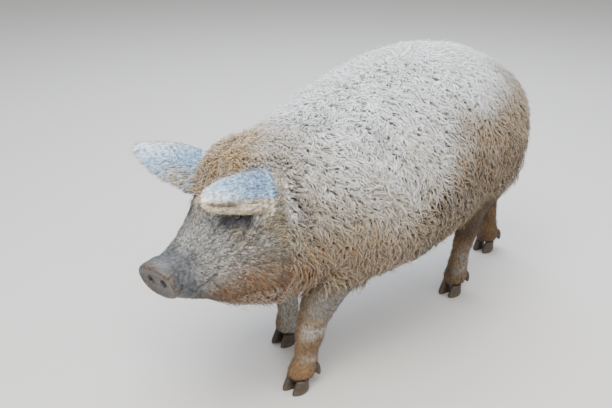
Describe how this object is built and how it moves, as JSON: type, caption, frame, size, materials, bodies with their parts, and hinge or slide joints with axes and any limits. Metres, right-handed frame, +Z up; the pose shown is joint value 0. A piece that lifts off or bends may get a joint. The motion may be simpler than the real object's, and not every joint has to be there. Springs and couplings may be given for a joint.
{
  "type": "blond mangalica pig",
  "caption": "Life-size standing blond Mangalica pig with a curly fleece, drooping ears and one pair of legs forward, as a still museum model.",
  "frame": {"origin": "centre of the base of the whole pig's box, on the floor that the claws stand on", "axes": "+Z up, the pig faces -Y and its left side is +X"},
  "size_m": [0.5689, 1.5361, 0.809],
  "materials": {
    "fleece": "matte",
    "short_coat": "matte",
    "bare_skin": "satin",
    "claw_horn": "satin",
    "eye": "gloss"
  },
  "bodies": {
    "root": {"torso": "fleece", "neck": "fleece", "tail": "fleece", "head": "short_coat", "snout": "bare_skin", "ear_left": "short_coat", "ear_right": "short_coat", "eye_left": "eye", "eye_right": "eye", "foreleg_left_upper": "short_coat", "foreleg_left_lower": "short_coat", "foreleg_right_upper": "short_coat", "foreleg_right_lower": "short_coat", "hindleg_left_upper": "short_coat", "hindleg_left_lower": "short_coat", "hindleg_right_upper": "short_coat", "hindleg_right_lower": "short_coat", "claw_foreleg_left_outer": "claw_horn", "claw_foreleg_left_inner": "claw_horn", "claw_foreleg_right_outer": "claw_horn", "claw_foreleg_right_inner": "claw_horn", "claw_hindleg_left_outer": "claw_horn", "claw_hindleg_left_inner": "claw_horn", "claw_hindleg_right_outer": "claw_horn", "claw_hindleg_right_inner": "claw_horn", "dewclaw_foreleg_left_outer": "claw_horn", "dewclaw_foreleg_left_inner": "claw_horn", "dewclaw_foreleg_right_outer": "claw_horn", "dewclaw_foreleg_right_inner": "claw_horn", "dewclaw_hindleg_left_outer": "claw_horn", "dewclaw_hindleg_left_inner": "claw_horn", "dewclaw_hindleg_right_outer": "claw_horn", "dewclaw_hindleg_right_inner": "claw_horn"}
  },
  "joints": []
}
